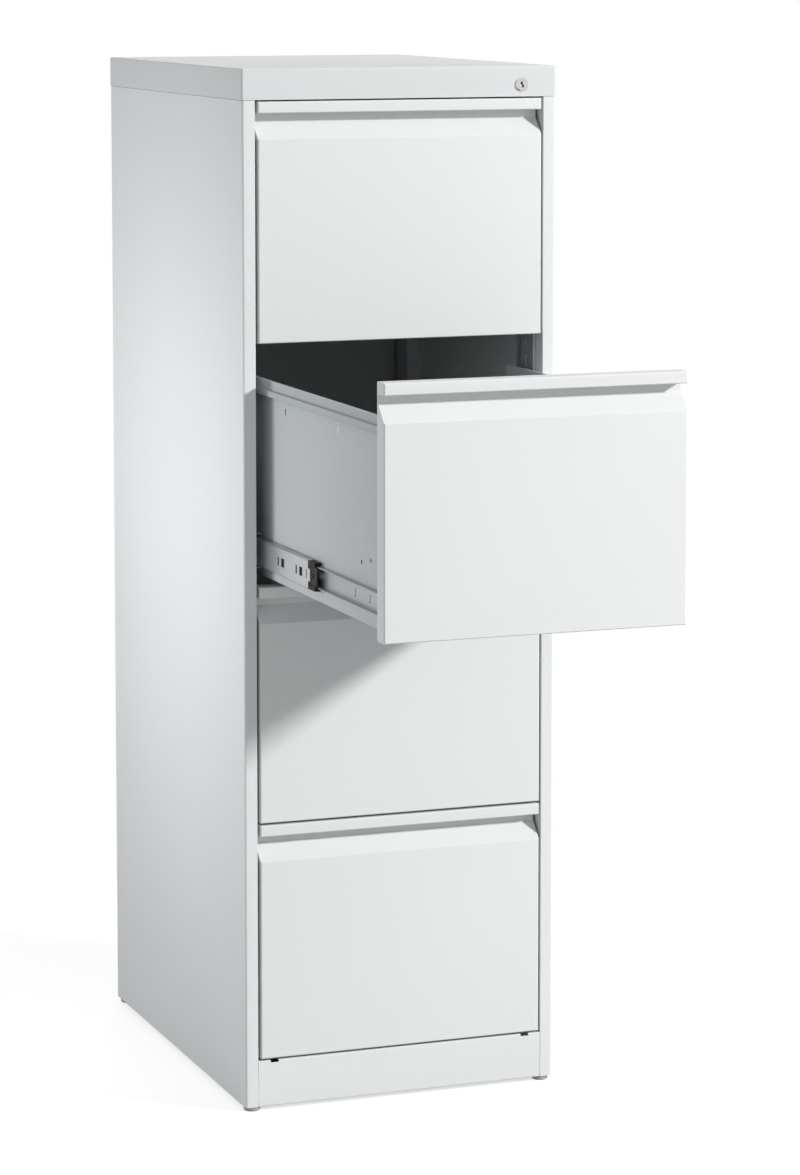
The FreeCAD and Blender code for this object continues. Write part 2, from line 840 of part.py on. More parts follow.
def hanging_rails(number):
    body = drawer_piece("hanging_rails", number)
    step = "rail_top - rail_lip"
    section = [
        ("tray_half", "rail_top - rail_height - rail_seat"),
        ("tray_half + tray_wall", "rail_top - rail_height - rail_seat"),
        ("tray_half + tray_wall", step + " - tray_wall"),
        ("tray_half + rail_out - tray_wall", step + " - tray_wall"),
        ("tray_half + rail_out - tray_wall", "rail_top - rail_height"),
        ("tray_half + rail_out", "rail_top - rail_height"),
        ("tray_half + rail_out", step),
        ("tray_half + rail_bead", step),
        ("tray_half + rail_bead", "rail_top"),
        ("tray_half", "rail_top"),
    ]
    add_prism(body, "XZ_Plane", "tray_front", "tray_length", [section])
    repeat(body, [])


def drawer_runners(number):
    body = drawer_piece("drawer_runners", number)
    section = channel("tray_half", "member_tip", "member_half", "runner_wall")
    bar = add_prism(body, "XZ_Plane", "member_front", "member_length", [section])
    bend_channel(body, bar, "tray_half", "member_half")
    low = "runner_lift - lance_height / 2"
    high = "runner_lift + lance_height / 2"
    lances = []
    for front in ("lance_setback", "lance_setback + lance_spacing"):
        foot = front + " + lance_width"
        lances.append([
            (front, high),
            (front, low),
            (foot + " + lance_width", low),
            (foot + " + lance_width", low + " + lance_width"),
            (foot, low + " + lance_width"),
            (foot, high),
        ])
    cut_prism(body, "YZ_Plane", "tray_half", "runner_wall", lances)
    repeat(body, [])


def drawer_catch(number):
    body = drawer_piece("drawer_catch", number)
    arm = "hook_inner - catch_wall"
    base = arm + " - catch_base"
    section = [
        (base, "front_depth"),
        (arm, "front_depth"),
        (arm, "catch_back"),
        ("catch_tip", "catch_back"),
        ("catch_tip", "catch_back + catch_wall"),
        (arm + " - catch_wall", "catch_back + catch_wall"),
        (arm + " - catch_wall", "front_depth + catch_wall"),
        (base, "front_depth + catch_wall"),
    ]
    low = "catch_rise - catch_height / 2"
    add_prism(body, "XY_Plane", low, "catch_height", [section])


def middle_runners(number):
    body = drawer_piece("middle_runners", number, 0.5)
    section = channel("middle_web", "runner_tip", "middle_half", "runner_wall", "track_lip")
    length = "runner_front + runner_length - middle_front"
    bar = add_prism(body, "XZ_Plane", "middle_front", length, [section])
    bend_channel(body, bar, "middle_web", "middle_half")
    low = "runner_lift - middle_slot_height / 2"
    high = "runner_lift + middle_slot_height / 2"
    slots = []
    for start in ("middle_slot_setback", "middle_slot_setback + middle_slot_spacing"):
        hole = "middle_front + " + start
        slot = hole + " + middle_slot_step"
        slots.append(rectangle(hole, hole + " + middle_hole_width", low, high))
        slots.append(rectangle(slot, slot + " + middle_slot_width", low, high))
    end = "middle_front + end_slot_setback"
    slots.append(rectangle(end, end + " + end_slot_width", low, high))
    cut_prism(body, "YZ_Plane", "middle_web - runner_wall", "runner_wall", slots)
    tab = rectangle("middle_web - runner_wall", "middle_web",
                    "runner_lift - end_tab_height / 2", "runner_lift + end_tab_height / 2")
    add_prism(body, "XZ_Plane", "middle_front - end_tab_length", "end_tab_length", [tab])
    repeat(body, [])


def runner_bumpers(number):
    body = drawer_piece("runner_bumpers", number, 0.5)
    inner = "member_half + bumper_clearance"
    upper = [
        ("bumper_web", inner),
        ("runner_tip", inner),
        ("runner_tip", "middle_half"),
        ("middle_web", "middle_half"),
        ("middle_web", "bumper_cheek"),
        ("bumper_plate", "bumper_cheek"),
    ]
    lower = [(x, "-(%s)" % z) for x, z in reversed(upper)]
    section = [(x, "runner_lift + " + z) for x, z in upper + lower]
    front = "middle_front - bumper_length"
    block = add_prism(body, "XZ_Plane", front, "bumper_length", [section])
    tips = []
    for z in ("runner_lift + middle_half", "runner_lift - middle_half"):
        tips += edges_at(block, y=front, z=z)
    bevel_edges(body, block, tips, "runner_bend")
    reach = "(member_half - bumper_clearance)"
    nose = rectangle("bumper_web", "bumper_plate", "runner_lift - " + reach, "runner_lift + " + reach)
    add_prism(body, "XZ_Plane", front + " - bumper_nose", "bumper_nose", [nose])
    hole = regular_polygon(front + " + bumper_length / 3", "runner_lift", "bumper_hole_radius", 12)
    cut_prism(body, "YZ_Plane", "bumper_web", "bumper_plate - bumper_web", [hole])
    repeat(body, [])


def ball_cages(name, number, share, web, half, front, length):
    body = drawer_piece(name, number, share)
    section = channel(web, "cage_tip", half, "cage_wall")
    add_prism(body, "XZ_Plane", front, length, [section])
    repeat(body, [])


def drawer(number):
    drawer_front(number)
    drawer_liner(number)
    drawer_tray(number)
    drawer_back(number)
    hanging_rails(number)
    drawer_runners(number)
    drawer_catch(number)
    middle_runners(number)
    runner_bumpers(number)
    ball_cages("outer_ball_cages", number, 0.25, "outer_cage_web", "outer_cage_half",
               "outer_cage_front", "outer_cage_length")
    ball_cages("inner_ball_cages", number, 0.75, "inner_cage_web", "inner_cage_half",
               "inner_cage_front", "inner_cage_length")


def check_model():
    for item in DOC.Objects:
        if "Invalid" in item.State or "Error" in item.State:
            raise ValueError(item.Name + " did not build")
    for node in NODES:
        if node.Shape.isNull() or not node.Shape.isValid() or not node.Shape.Solids:
            raise ValueError(node.Label + " has no valid solid")


def write_parts():
    os.makedirs("parts", exist_ok=True)
    for node in NODES:
        node.Shape.exportStep("parts/%s.step" % node.Label)
        print(node.Label, len(node.Shape.Solids), round(node.Shape.Volume))


fill_sheet()
side_panels()
rear_panel()
top_cover()
base_panel()
uprights()
runner_brackets()
cabinet_runners()
glide_feet()
lock_barrel()
lock_plug()
lock_cam()
lock_bar()
lock_bar_plate()
lock_hooks()
lock_bar_guides()
for drawer_number in range(1, DRAWERS + 1):
    drawer(drawer_number)
DOC.recompute()
check_model()
write_parts()
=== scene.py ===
import math
import bpy
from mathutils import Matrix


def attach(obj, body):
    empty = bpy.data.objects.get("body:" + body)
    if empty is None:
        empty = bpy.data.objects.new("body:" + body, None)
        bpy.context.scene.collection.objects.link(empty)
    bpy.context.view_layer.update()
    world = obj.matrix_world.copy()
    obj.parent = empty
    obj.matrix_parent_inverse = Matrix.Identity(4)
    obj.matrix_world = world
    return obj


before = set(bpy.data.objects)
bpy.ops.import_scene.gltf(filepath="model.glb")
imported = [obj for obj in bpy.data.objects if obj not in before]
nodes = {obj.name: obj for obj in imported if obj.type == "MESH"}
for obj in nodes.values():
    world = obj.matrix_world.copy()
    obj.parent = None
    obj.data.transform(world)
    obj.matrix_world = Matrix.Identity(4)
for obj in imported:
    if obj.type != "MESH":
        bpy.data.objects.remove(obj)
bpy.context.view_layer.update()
drawerNumbers = (1, 2, 3, 4)
print("frame loaded:", len(nodes), "nodes")


# Camera and light

cameraSettings = {
    "location": (-1.7614, -4.981, 1.5026),
    "tiltDown": 0.1024,
    "turnRight": 0.3591,
    "lens": 119.05,
    "sensor": 36,
    "shiftY": -0.2,
    "clipEnd": 60,
}

lampSettings = {  # metres and watts; a dull lamp has no mirror image, which would burn out the paint
    "keyLamp": {"place": (7.066, -6.283, 4.694), "aim": (0.0, -0.3, 0.8), "side": 0.85, "watts": 1130,
                "colour": (1.0, 0.995, 0.985), "dull": True},
    "topLamp": {"place": (0.0, 0.5, 3.6), "aim": (0.0, 0.0, 1.3), "side": 1.0, "watts": 2,
                "colour": (1.0, 1.0, 1.0), "dull": True},
    "leftLamp": {"place": (-0.95, 0.0, 0.78), "aim": (-0.2, 0.0, 0.78), "side": 0.4, "watts": 4.3,
                 "colour": (0.98, 0.99, 1.0), "dull": True},
    "fillLamp": {"place": (-3.0, -3.8, 1.9), "aim": (0.0, -0.3, 0.8), "side": 1.6, "watts": 10,
                 "colour": (0.98, 0.99, 1.0), "dull": False},
    "rearLamp": {"place": (1.2, 4.6, 2.0), "aim": (0.0, 0.3, 0.7), "side": 1.6, "watts": 55,
                 "colour": (0.98, 0.99, 1.0), "dull": True},
}

worldSettings = {"ambient": 0.43, "tint": (0.975, 0.99, 1.0, 1.0), "backdrop": (1, 1, 1, 1)}


def addCamera(settings):
    data = bpy.data.cameras.new("photoCamera")
    camera = bpy.data.objects.new("photoCamera", data)
    bpy.context.collection.objects.link(camera)
    camera.location = settings["location"]
    camera.rotation_euler = (math.pi / 2 - settings["tiltDown"], 0, -settings["turnRight"])
    data.sensor_width = settings["sensor"]
    data.lens = settings["lens"]
    data.shift_y = settings["shiftY"]
    data.clip_end = settings["clipEnd"]
    bpy.context.scene.camera = camera


def addLamp(name, settings):
    data = bpy.data.lights.new(name, "AREA")
    data.shape = "RECTANGLE"
    data.size = settings["side"]
    data.size_y = settings["side"]
    data.energy = settings["watts"]
    data.color = settings["colour"]
    lamp = bpy.data.objects.new(name, data)
    bpy.context.collection.objects.link(lamp)
    lamp.location = settings["place"]
    direction = [b - a for a, b in zip(settings["place"], settings["aim"])]
    turn = math.atan2(-direction[0], direction[1])
    rise = math.atan2(direction[2], math.hypot(direction[0], direction[1]))
    lamp.rotation_euler = (math.pi / 2 + rise, 0, turn)
    lamp.visible_glossy = not settings["dull"]


def addMath(tree, operation, first, second=None, third=None):
    node = tree.nodes.new("ShaderNodeMath")
    node.operation = operation
    for socket, value in zip(node.inputs, (first, second, third)):
        if value is None:
            continue
        if isinstance(value, (int, float)):
            socket.default_value = value
        else:
            tree.links.new(value, socket)
    return node.outputs[0]


# The camera, mirrored and see-through rays all meet the white backdrop
def addSeenRays(tree):
    rays = tree.nodes.new("ShaderNodeLightPath").outputs
    passed = addMath(tree, "MAXIMUM", rays["Is Glossy Ray"], rays["Is Transmission Ray"])
    return addMath(tree, "MAXIMUM", rays["Is Camera Ray"], passed)


def setWorld(settings):
    world = bpy.data.worlds.new("studio")
    bpy.context.scene.world = world
    world.use_nodes = True
    tree = world.node_tree
    tree.nodes.clear()
    out = tree.nodes.new("ShaderNodeOutputWorld")
    seen = tree.nodes.new("ShaderNodeBackground")
    seen.inputs["Color"].default_value = settings["backdrop"]
    seen.inputs["Strength"].default_value = 1.0
    light = tree.nodes.new("ShaderNodeBackground")
    light.inputs["Color"].default_value = settings["tint"]
    light.inputs["Strength"].default_value = settings["ambient"]
    mix = tree.nodes.new("ShaderNodeMixShader")
    tree.links.new(addSeenRays(tree), mix.inputs["Fac"])
    tree.links.new(light.outputs[0], mix.inputs[1])
    tree.links.new(seen.outputs[0], mix.inputs[2])
    tree.links.new(mix.outputs[0], out.inputs["Surface"])


addCamera(cameraSettings)
for lampName, lampValues in lampSettings.items():
    addLamp(lampName, lampValues)
setWorld(worldSettings)
bpy.context.scene.view_settings.view_transform = "Standard"
print("camera and light set")


# Shader groups that several finishes share

def newGroup(name, inputs, outputs):
    group = bpy.data.node_groups.new(name, "ShaderNodeTree")
    for label, kind, value in inputs:
        socket = group.interface.new_socket(name=label, in_out="INPUT", socket_type=kind)
        socket.default_value = value
    for label, kind in outputs:
        group.interface.new_socket(name=label, in_out="OUTPUT", socket_type=kind)
    return group, group.nodes.new("NodeGroupInput"), group.nodes.new("NodeGroupOutput")


def addNoise(tree, vector, settings):
    noise = tree.nodes.new("ShaderNodeTexNoise")
    noise.inputs["Scale"].default_value = settings["scale"]
    noise.inputs["Detail"].default_value = settings["detail"]
    noise.inputs["Roughness"].default_value = settings["roughness"]
    tree.links.new(vector, noise.inputs["Vector"])
    return noise.outputs["Fac"]


def addRange(tree, value, given, wanted):
    node = tree.nodes.new("ShaderNodeMapRange")
    for label, number in zip(("From Min", "From Max", "To Min", "To Max"), given + wanted):
        node.inputs[label].default_value = number
    tree.links.new(value, node.inputs["Value"])
    return node.outputs["Result"]


def addScaledColour(tree, colour, factor):
    scaled = tree.nodes.new("ShaderNodeVectorMath")
    scaled.operation = "SCALE"
    tree.links.new(colour, scaled.inputs[0])
    tree.links.new(factor, scaled.inputs["Scale"])
    return scaled.outputs[0]


def addMix(tree, amount, first, second):
    node = tree.nodes.new("ShaderNodeMix")
    node.data_type = "RGBA"
    for socket, value in ((node.inputs[0], amount), (node.inputs[6], first), (node.inputs[7], second)):
        if isinstance(value, (int, float, tuple)):
            socket.default_value = value
        else:
            tree.links.new(value, socket)
    return node.outputs[2]


finishOutputs = [
    ("Colour", "NodeSocketColor"), ("Roughness", "NodeSocketFloat"), ("Height", "NodeSocketFloat")]
midNoise = (0.3, 0.7)  # the part of the noise that is used

powderSettings = {
    "peel": {"scale": 420, "detail": 2.0, "roughness": 0.45},  # orange peel of about 2 mm
    "grain": {"scale": 1900, "detail": 2.0, "roughness": 0.6},  # the powder's own grain
    "cloud": {"scale": 2.3, "detail": 2.0, "roughness": 0.5},
    "speck": {"scale": 900, "detail": 1.0, "roughness": 0.5},
    "cloudTone": (0.985, 1.01), "speckTone": (0.99, 1.008), "grainHeight": 0.25,
}


def powderCoatGroup(settings):
    group, given, put = newGroup(
        "powderCoat",
        [("Colour", "NodeSocketColor", (0.7, 0.7, 0.7, 1)), ("Peel", "NodeSocketFloat", 0.5),
         ("Gloss Change", "NodeSocketFloat", 0.05), ("Roughness", "NodeSocketFloat", 0.4)],
        finishOutputs)
    place = group.nodes.new("ShaderNodeTexCoord").outputs["Object"]
    peel = addNoise(group, place, settings["peel"])
    grain = addNoise(group, place, settings["grain"])
    cloud = addNoise(group, place, settings["cloud"])
    speck = addNoise(group, place, settings["speck"])
    tone = addRange(group, cloud, midNoise, settings["cloudTone"])
    fine = addRange(group, speck, midNoise, settings["speckTone"])
    both = addMath(group, "MULTIPLY", tone, fine)
    group.links.new(addScaledColour(group, given.outputs["Colour"], both), put.inputs["Colour"])
    change = addRange(group, grain, midNoise, (-1.0, 1.0))
    shift = addMath(group, "MULTIPLY", change, given.outputs["Gloss Change"])
    rough = addMath(group, "ADD", shift, given.outputs["Roughness"])
    group.links.new(rough, put.inputs["Roughness"])
    soft = addMath(group, "MULTIPLY", peel, given.outputs["Peel"])
    hard = addMath(group, "MULTIPLY", grain, settings["grainHeight"])
    group.links.new(addMath(group, "ADD", soft, hard), put.inputs["Height"])
    return group


rolledSettings = {
    "stretch": (1400, 22, 1400),  # drawn out along the runner
    "streaks": {"scale": 1.0, "detail": 4.0, "roughness": 0.6},
    "bloom": {"scale": 60, "detail": 4.0, "roughness": 0.6},
    "streakNoise": (0.25, 0.75), "streakTone": (-0.5, 0.5), "bloomTone": (0.97, 1.02),
    "bloomGloss": (-0.03, 0.04),
}


def rolledSteelGroup(settings):
    group, given, put = newGroup(
        "rolledSteel",
        [("Colour", "NodeSocketColor", (0.6, 0.6, 0.6, 1)), ("Streak", "NodeSocketFloat", 0.5),
         ("Roughness", "NodeSocketFloat", 0.4)],
        finishOutputs)
    place = group.nodes.new("ShaderNodeTexCoord").outputs["Object"]
    stretch = group.nodes.new("ShaderNodeMapping")
    stretch.inputs["Scale"].default_value = settings["stretch"]
    group.links.new(place, stretch.inputs["Vector"])
    streaks = addNoise(group, stretch.outputs[0], settings["streaks"])
    bloom = addNoise(group, place, settings["bloom"])
    tone = addRange(group, streaks, settings["streakNoise"], settings["streakTone"])
    shade = addMath(group, "MULTIPLY_ADD", tone, given.outputs["Streak"], 1.0)
    dull = addRange(group, bloom, midNoise, settings["bloomTone"])
    both = addMath(group, "MULTIPLY", shade, dull)
    group.links.new(addScaledColour(group, given.outputs["Colour"], both), put.inputs["Colour"])
    rough = addRange(group, bloom, midNoise, settings["bloomGloss"])
    group.links.new(addMath(group, "ADD", rough, given.outputs["Roughness"]), put.inputs["Roughness"])
    group.links.new(streaks, put.inputs["Height"])
    return group


mouldedSettings = {
    "spark": {"scale": 2600, "detail": 2.0, "roughness": 0.6},  # spark-eroded mould grain
    "haze": {"scale": 90, "detail": 3.0, "roughness": 0.5},
    "hazeTone": (0.85, 1.2), "hazeGloss": (-0.06, 0.06),
}


def mouldedGroup(settings):
    group, given, put = newGroup(
        "mouldedPlastic",
        [("Colour", "NodeSocketColor", (0.1, 0.1, 0.1, 1)), ("Roughness", "NodeSocketFloat", 0.5)],
        finishOutputs)
    place = group.nodes.new("ShaderNodeTexCoord").outputs["Object"]
    spark = addNoise(group, place, settings["spark"])
    haze = addNoise(group, place, settings["haze"])
    tone = addRange(group, haze, midNoise, settings["hazeTone"])
    group.links.new(addScaledColour(group, given.outputs["Colour"], tone), put.inputs["Colour"])
    rough = addRange(group, haze, midNoise, settings["hazeGloss"])
    group.links.new(addMath(group, "ADD", rough, given.outputs["Roughness"]), put.inputs["Roughness"])
    group.links.new(spark, put.inputs["Height"])
    return group


groups = {
    "powderCoat": powderCoatGroup(powderSettings),
    "rolledSteel": rolledSteelGroup(rolledSettings),
    "moulded": mouldedGroup(mouldedSettings),
}


# Finishes

powderBump = {"bump": 0.05, "reach": 0.0004}
steelReach = 0.0001
mouldBump = {"bump": 0.12, "reach": 0.0002}
casePeel = {"Peel": 0.8, "Gloss Change": 0.04}
trayPeel = {"Peel": 0.6, "Gloss Change": 0.05}

finishes = {  # reach is the bump's height in metres
    "caseGrey": {"group": "powderCoat", "colour": (0.70, 0.715, 0.72, 1), "roughness": 0.36,
                 "metallic": 0.0, "specular": 0.15, "own": casePeel, **powderBump},
    # painted shade: the top cover takes the case paint a tone darker, standing in for its darker
    # lighting
    "coverShadedGrey": {"group": "powderCoat", "colour": (0.63, 0.645, 0.65, 1), "roughness": 0.36,
                  "metallic": 0.0, "specular": 0.15, "own": casePeel, **powderBump},
    "drawerGrey": {"group": "powderCoat", "colour": (0.70, 0.712, 0.715, 1), "roughness": 0.38,
                   "metallic": 0.0, "specular": 0.15, "own": casePeel, **powderBump},
    # painted shade: the drawer trays and backs take the drawer paint made darker and bluer, standing
    # in for the shade inside and beside the cabinet
    "trayShadedGrey": {"group": "powderCoat", "colour": (0.505, 0.53, 0.55, 1), "roughness": 0.42,
                 "metallic": 0.0, "specular": 0.15, "own": trayPeel, **powderBump},
    "railGrey": {"group": "powderCoat", "colour": (0.44, 0.465, 0.485, 1), "roughness": 0.4,
                 "metallic": 0.0, "specular": 0.15, "own": trayPeel, **powderBump},
    "zincSheet": {"group": "rolledSteel", "colour": (0.60, 0.62, 0.64, 1), "roughness": 0.42,
                  "metallic": 0.6, "specular": 0.5, "bump": 0.02, "reach": steelReach,
                  "own": {"Streak": 0.06}},
    # painted shade: the drawer runners take a darker copy of the zinc steel, standing in for the shade
    # on their webs inside the middle runners
    "memberShadedSteel": {"group": "rolledSteel", "colour": (0.38, 0.395, 0.41, 1), "roughness": 0.36,
                    "metallic": 0.7, "specular": 0.5, "bump": 0.02, "reach": steelReach,
                    "own": {"Streak": 0.06}},
    "brightSteel": {"group": "rolledSteel", "colour": (0.47, 0.48, 0.49, 1), "roughness": 0.3,
                    "metallic": 0.8, "specular": 0.5, "bump": 0.015, "reach": steelReach,
                    "own": {"Streak": 0.05}},
    "lockChrome": {"group": "rolledSteel", "colour": (0.66, 0.66, 0.645, 1), "roughness": 0.25,
                   "metallic": 0.85, "specular": 0.5, "bump": 0.01, "reach": steelReach,
                   "own": {"Streak": 0.04}},
    "blackNylon": {"group": "moulded", "colour": (0.006, 0.006, 0.007, 1), "roughness": 0.55,
                   "metallic": 0.0, "specular": 0.2, "own": {}, **mouldBump},
    "footGrey": {"group": "moulded", "colour": (0.34, 0.345, 0.35, 1), "roughness": 0.55,
                 "metallic": 0.0, "specular": 0.5, "own": {}, **mouldBump},
}


def makeFinish(name, settings):
    material = bpy.data.materials.new(name)
    material.use_nodes = True
    tree = material.node_tree
    shader = tree.nodes["Principled BSDF"]
    shader.inputs["Metallic"].default_value = settings["metallic"]
    shader.inputs["Specular IOR Level"].default_value = settings["specular"]
    group = tree.nodes.new("ShaderNodeGroup")
    group.node_tree = groups[settings["group"]]
    group.inputs["Colour"].default_value = settings["colour"]
    group.inputs["Roughness"].default_value = settings["roughness"]
    for label, value in settings["own"].items():
        group.inputs[label].default_value = value
    bump = tree.nodes.new("ShaderNodeBump")
    bump.inputs["Strength"].default_value = settings["bump"]
    bump.inputs["Distance"].default_value = settings["reach"]
    tree.links.new(group.outputs["Colour"], shader.inputs["Base Color"])
    tree.links.new(group.outputs["Roughness"], shader.inputs["Roughness"])
    tree.links.new(group.outputs["Height"], bump.inputs["Height"])
    tree.links.new(bump.outputs[0], shader.inputs["Normal"])
    return material


materials = {name: makeFinish(name, settings) for name, settings in finishes.items()}


keywayShadeSettings = {  # metres; dark is the colour of the painted shade inside and round the keyway
    "across": 0.1676, "rise": 1.3327, "height": 0.0076, "swing": 0.0012, "mouth": 0.0012,
    "mouthEdge": 0.0016, "endFade": 0.0003, "faceDepth": -0.29525, "darkDepth": -0.2950,
    "dark": (0.012, 0.011, 0.010, 1),
}


# Painted shade on the lock plug: its keyway is coloured dark inside, and the face round its crooked
# mouth is darkened in place of the shadow of a countersink
def makeKeywayShadeFinish(settings):
    material = makeFinish("lockPlugShadedFace", finishes["lockChrome"])
    tree = material.node_tree
    shader = tree.nodes["Principled BSDF"]
    sides = tree.nodes.new("ShaderNodeSeparateXYZ")
    tree.links.new(tree.nodes.new("ShaderNodeTexCoord").outputs["Object"], sides.inputs[0])
    across = addMath(tree, "SUBTRACT", sides.outputs["X"], settings["across"])
    rise = addMath(tree, "SUBTRACT", sides.outputs["Z"], settings["rise"])
    angle = addMath(tree, "MULTIPLY", rise, 2 * math.pi / settings["height"])
    wave = addMath(tree, "SINE", angle)
    off = addMath(tree, "ABSOLUTE", addMath(tree, "MULTIPLY_ADD", wave, settings["swing"], across))
    half = settings["height"] / 2
    # painted shade in a band round the keyway's crooked mouth
    beside = addRange(tree, off, (settings["mouth"], settings["mouthEdge"]), (1.0, 0.0))
    end = addMath(tree, "ABSOLUTE", rise)
    within = addRange(tree, end, (half, half + settings["endFade"]), (1.0, 0.0))
    mouth = addMath(tree, "MULTIPLY", beside, within)
    inside = (settings["faceDepth"], settings["darkDepth"])
    # painted shade on the keyway's walls, deeper than the plug's face
    insideShade = addRange(tree, sides.outputs["Y"], inside, (0.0, 1.0))
    lit = shader.inputs["Base Color"].links[0].from_socket
    dark = addMix(tree, addMath(tree, "MAXIMUM", insideShade, mouth), lit, settings["dark"])
    tree.links.new(dark, shader.inputs["Base Color"])
    return material


materials["lockPlugShadedFace"] = makeKeywayShadeFinish(keywayShadeSettings)

nodeFinishes = {  # a node's kind is its name without its drawer's number
    "left_side_panel": "caseGrey", "right_side_panel": "caseGrey", "rear_panel": "caseGrey",
    "top_cover": "coverShadedGrey", "base_panel": "caseGrey", "uprights": "zincSheet",
    "runner_brackets": "zincSheet", "cabinet_runners": "zincSheet", "glide_feet": "footGrey",
    "lock_barrel": "lockChrome", "lock_plug": "lockPlugShadedFace", "lock_cam": "zincSheet",
    "lock_bar": "zincSheet", "lock_bar_plate": "zincSheet", "lock_hooks": "zincSheet",
    "lock_bar_guides": "blackNylon", "drawer_front": "drawerGrey", "drawer_liner": "drawerGrey",
    "drawer_tray": "trayShadedGrey", "drawer_back": "trayShadedGrey", "hanging_rails": "railGrey",
    "drawer_runners": "memberShadedSteel", "middle_runners": "brightSteel", "runner_bumpers": "blackNylon",
    "outer_ball_cages": "blackNylon", "inner_ball_cages": "blackNylon", "drawer_catch": "zincSheet",
}

nodeKinds = {name: name.rstrip("_1234") for name in nodes}

for name, node in nodes.items():
    node.data.materials.clear()
    node.data.materials.append(materials[nodeFinishes[nodeKinds[name]]])
print("finishes on all nodes")


# Folded and sawn edges get a small round, so that they catch the light

edgeSettings = {"join": 2e-6, "flatDegrees": 0.5, "segments": 2, "bevelDegrees": 28}

edgeRounds = {  # width of the round in metres
    "left_side_panel": 0.0003, "right_side_panel": 0.0003, "top_cover": 0.0003,
    "base_panel": 0.00025, "drawer_front": 0.0003, "drawer_liner": 0.0002, "drawer_tray": 0.0002,
    "hanging_rails": 0.00022, "drawer_back": 0.0002, "drawer_runners": 0.0002,
    "middle_runners": 0.00025, "runner_bumpers": 0.0003, "uprights": 0.0002,
    "cabinet_runners": 0.0002, "glide_feet": 0.0003, "lock_barrel": 0.0002,
}


# The imported shading normals are dropped, so that the bevel can set its own
def plainNormalsTree():
    tree = bpy.data.node_groups.new("plainNormals", "GeometryNodeTree")
    tree.interface.new_socket(name="Geometry", in_out="INPUT", socket_type="NodeSocketGeometry")
    tree.interface.new_socket(name="Geometry", in_out="OUTPUT", socket_type="NodeSocketGeometry")
    given = tree.nodes.new("NodeGroupInput")
    put = tree.nodes.new("NodeGroupOutput")
    drop = tree.nodes.new("GeometryNodeRemoveAttribute")
    drop.inputs["Name"].default_value = "custom_normal"
    smooth = tree.nodes.new("GeometryNodeSetShadeSmooth")
    tree.links.new(given.outputs[0], drop.inputs[0])
    tree.links.new(drop.outputs[0], smooth.inputs[0])
    tree.links.new(smooth.outputs[0], put.inputs[0])
    return tree


plainNormals = plainNormalsTree()


def roundEdges(node, width, settings):
    node.modifiers.new("plainNormals", "NODES").node_group = plainNormals
    weld = node.modifiers.new("join", "WELD")
    weld.merge_threshold = settings["join"]
    flat = node.modifiers.new("flatFaces", "DECIMATE")
    flat.decimate_type = "DISSOLVE"
    flat.angle_limit = math.radians(settings["flatDegrees"])
    bevel = node.modifiers.new("edgeRound", "BEVEL")
    bevel.width = width
    bevel.segments = settings["segments"]
    bevel.limit_method = "ANGLE"
    bevel.angle_limit = math.radians(settings["bevelDegrees"])
    bevel.harden_normals = True


for name, node in nodes.items():
    if nodeKinds[name] in edgeRounds:
        roundEdges(node, edgeRounds[nodeKinds[name]], edgeSettings)
print("edges rounded")


# Steel balls in the runners' cages, one row above and one below on each side

ballSettings = {  # metres
    "radius": 0.00155, "arcPoints": 12, "turns": 8, "join": 0.00001,
    "runnerHeights": {1: 1.046, 2: 0.734, 3: 0.422, 4: 0.110},
    "drawerPulls": {1: 0.0, 2: 0.46, 3: 0.0, 4: 0.0},
    "frontFace": -0.295,
    # height off the runner's middle, first and last ball behind the front face of a shut drawer,
    # and the share of the drawer's pull that the row makes
    "rows": {
        "outer": {"across": 0.1860, "height": 0.01965, "first": 0.175, "last": 0.393, "count": 14,
                  "share": 0.25},
        "inner": {"across": 0.1852, "height": 0.01515, "first": 0.194, "last": 0.396, "count": 13,
                  "share": 0.75},
    },
}


# A half ring is spun about its own ends
def makeBall(settings):
    bpy.ops.object.select_all(action="DESELECT")
    bpy.ops.mesh.primitive_circle_add(
        vertices=settings["arcPoints"], radius=settings["radius"], location=(0, 0, 0))
    ball = bpy.context.object
    bpy.ops.object.mode_set(mode="EDIT")
    bpy.ops.mesh.select_all(action="SELECT")
    bpy.ops.mesh.bisect(plane_co=(0, 0, 0), plane_no=(0, 1, 0), clear_inner=True)
    bpy.ops.mesh.select_all(action="SELECT")
    bpy.ops.mesh.spin(steps=settings["turns"], angle=2 * math.pi, center=(0, 0, 0), axis=(1, 0, 0))
    bpy.ops.mesh.select_all(action="SELECT")
    bpy.ops.mesh.remove_doubles(threshold=settings["join"])
    bpy.ops.mesh.normals_make_consistent(inside=False)
    bpy.ops.object.mode_set(mode="OBJECT")
    bpy.ops.object.shade_smooth()
    return ball


def addBalls(pattern, settings, kind, number):
    row = settings["rows"][kind]
    step = (row["last"] - row["first"]) / (row["count"] - 1)
    behind = row["first"] - row["share"] * settings["drawerPulls"][number]
    copies = []
    for side in (-1, 1):
        for level in (-1, 1):
            for index in range(row["count"]):
                copy = pattern.copy()
                copy.data = pattern.data.copy()
                bpy.context.collection.objects.link(copy)
                copy.location = (side * row["across"], settings["frontFace"] + behind + index * step,
                                 settings["runnerHeights"][number] + level * row["height"])
                copies.append(copy)
    bpy.ops.object.select_all(action="DESELECT")
    for copy in copies:
        copy.select_set(True)
    bpy.context.view_layer.objects.active = copies[0]
    bpy.ops.object.join()
    bpy.ops.object.transform_apply(location=True, rotation=True, scale=True)
    piece = bpy.context.object
    piece.name = "steelBalls_%s_%d" % (kind, number)
    piece.data.materials.append(materials["brightSteel"])
    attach(piece, "%s_cages_%d" % (kind, number))


ballPattern = makeBall(ballSettings)
for number in drawerNumbers:
    for kind in ballSettings["rows"]:
        addBalls(ballPattern, ballSettings, kind, number)
bpy.data.objects.remove(ballPattern)
print("steel balls placed")


# Floor

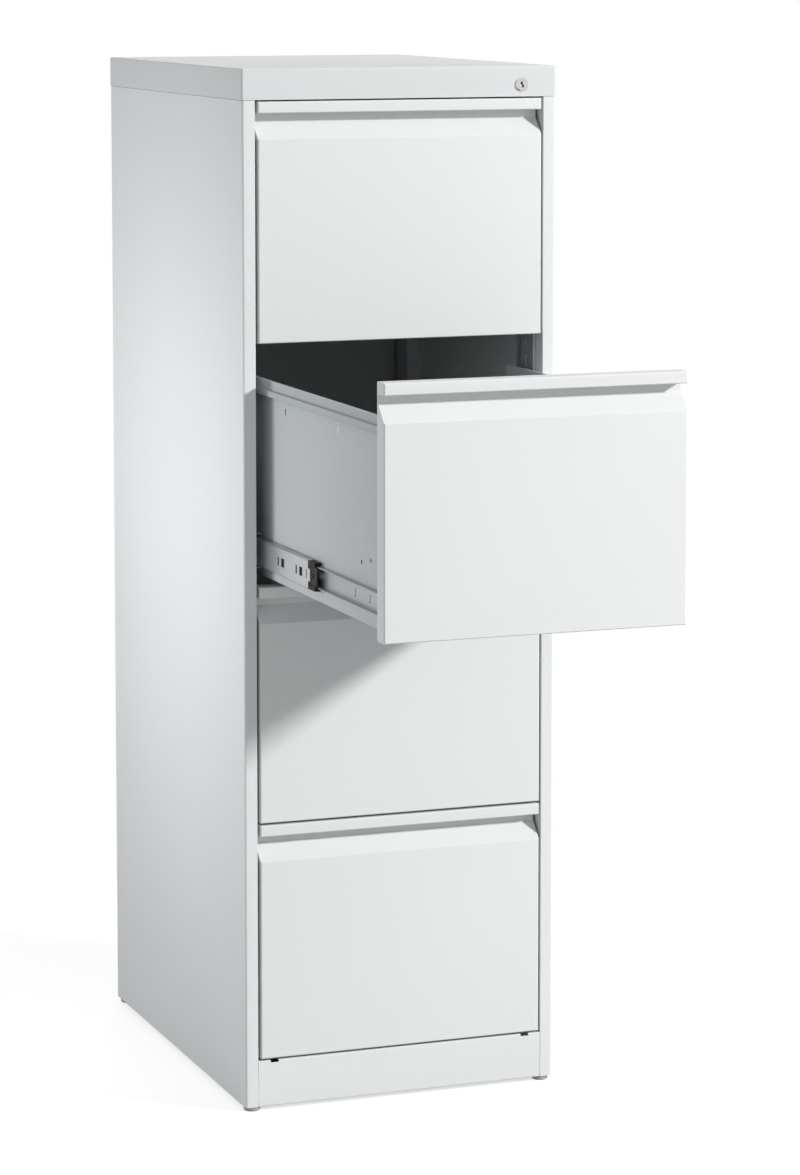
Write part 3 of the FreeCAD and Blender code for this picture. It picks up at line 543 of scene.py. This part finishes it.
floorSettings = {  # metres; lift is the light that the seen floor adds
    "size": 24, "colour": (0.44, 0.44, 0.44, 1), "roughness": 0.9, "lift": 0.68,
    "fadeFrom": 0.4, "fadeTo": 1.15, "darkAcross": 0.13, "darkDeep": 0.2, "darkEdge": 0.03,
}


# Near the cabinet the floor is lit and takes its shadow; further off it passes into plain white
def addFloor(settings):
    bpy.ops.object.select_all(action="DESELECT")
    bpy.ops.mesh.primitive_plane_add(size=settings["size"], location=(0, 0, 0))
    floor = bpy.context.object
    floor.name = "studioFloor"
    material = bpy.data.materials.new("paleFloor")
    material.use_nodes = True
    tree = material.node_tree
    shader = tree.nodes["Principled BSDF"]
    shader.inputs["Roughness"].default_value = settings["roughness"]
    shader.inputs["Specular IOR Level"].default_value = 0.0
    shader.inputs["Base Color"].default_value = settings["colour"]
    seen = addSeenRays(tree)
    place = tree.nodes.new("ShaderNodeTexCoord").outputs["Object"]
    length = tree.nodes.new("ShaderNodeVectorMath")
    length.operation = "LENGTH"
    tree.links.new(place, length.inputs[0])
    fade = tree.nodes.new("ShaderNodeMapRange")
    fade.interpolation_type = "SMOOTHSTEP"
    fade.inputs["From Min"].default_value = settings["fadeFrom"]
    fade.inputs["From Max"].default_value = settings["fadeTo"]
    tree.links.new(length.outputs["Value"], fade.inputs["Value"])
    sides = tree.nodes.new("ShaderNodeSeparateXYZ")
    tree.links.new(place, sides.inputs[0])
    away = []
    for label, start in (("X", settings["darkAcross"]), ("Y", settings["darkDeep"])):
        off = addMath(tree, "ABSOLUTE", sides.outputs[label])
        away.append(addRange(tree, off, (start, start + settings["darkEdge"]), (0.0, 1.0)))
    clear = addMath(tree, "MAXIMUM", *away)  # the floor far under the cabinet stays dark
    lift = tree.nodes.new("ShaderNodeEmission")
    shown = addMath(tree, "MULTIPLY", seen, clear)
    tree.links.new(addMath(tree, "MULTIPLY", shown, settings["lift"]), lift.inputs["Strength"])
    lit = tree.nodes.new("ShaderNodeAddShader")
    tree.links.new(shader.outputs[0], lit.inputs[0])
    tree.links.new(lift.outputs[0], lit.inputs[1])
    white = tree.nodes.new("ShaderNodeEmission")
    blend = tree.nodes.new("ShaderNodeMixShader")
    tree.links.new(addMath(tree, "MULTIPLY", seen, fade.outputs["Result"]), blend.inputs["Fac"])
    tree.links.new(lit.outputs[0], blend.inputs[1])
    tree.links.new(white.outputs[0], blend.inputs[2])
    tree.links.new(blend.outputs[0], tree.nodes["Material Output"].inputs["Surface"])
    floor.data.materials.append(material)


addFloor(floorSettings)
print("floor laid")
